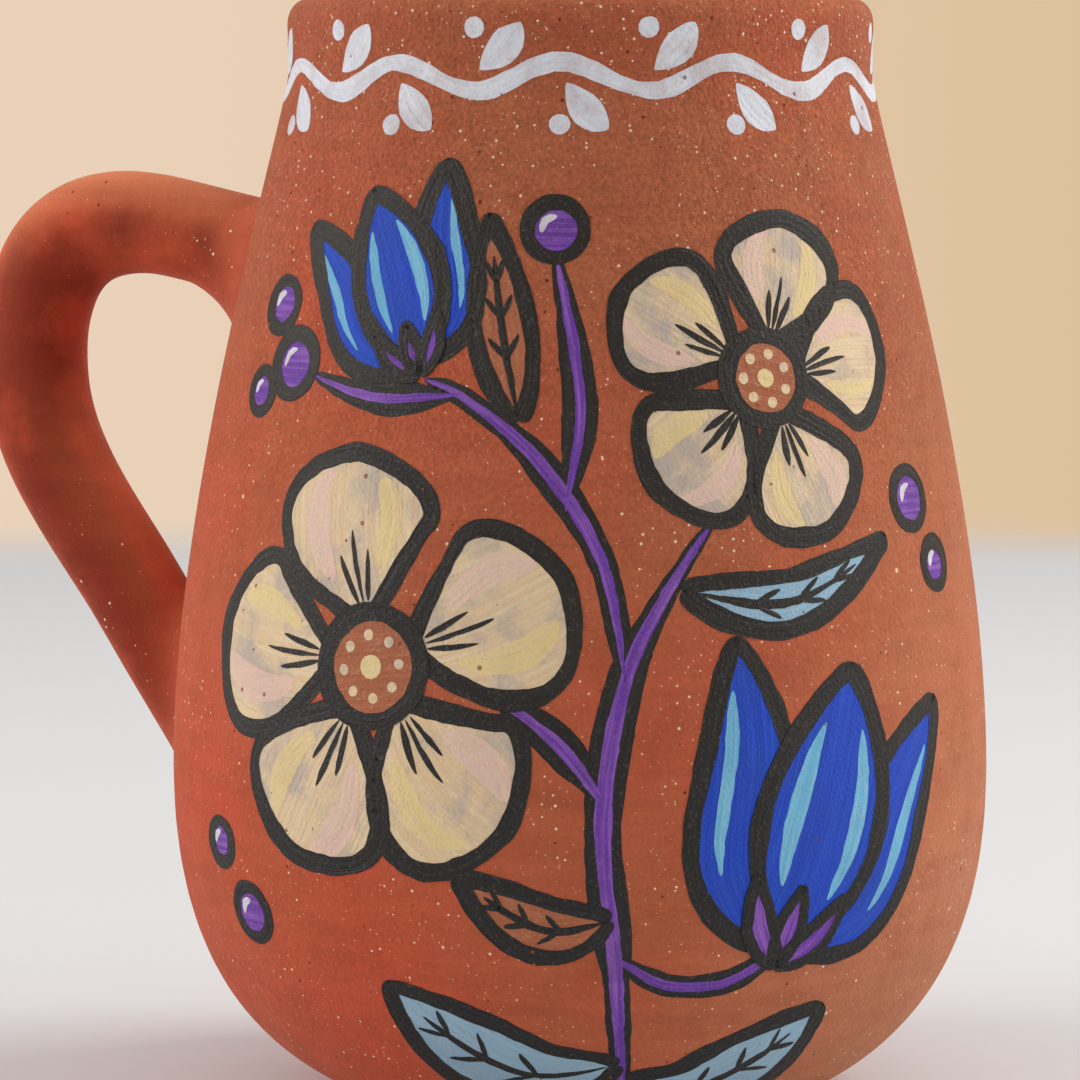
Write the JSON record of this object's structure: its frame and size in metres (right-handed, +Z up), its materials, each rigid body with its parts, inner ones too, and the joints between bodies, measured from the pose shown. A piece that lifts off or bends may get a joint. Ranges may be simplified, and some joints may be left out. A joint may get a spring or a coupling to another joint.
{
  "type": "clay mug",
  "caption": "Pot-bellied red clay mug with a short neck, a rounded lip and a rolled ear handle luted to its side.",
  "frame": {"origin": "middle of the foot, on the surface that the mug stands on", "axes": "+Z up along the axis of the mug, the handle stands out along -X in the plane y = 0, +Y completes the right-handed frame"},
  "size_m": [0.1163, 0.0892, 0.1192],
  "materials": {
    "thrown_clay": "matte fired red clay, fine grain",
    "rolled_clay": "matte fired red clay, brushed smooth",
    "luting_clay": "matte fired red clay, wiped with a wet finger",
    "clear_glaze": "glossy clear glaze over red clay"
  },
  "bodies": {
    "root": {"body": "thrown_clay", "handle": "rolled_clay", "upper_luting_clay": "luting_clay", "lower_luting_clay": "luting_clay", "liner_glaze": "clear_glaze"}
  },
  "joints": []
}
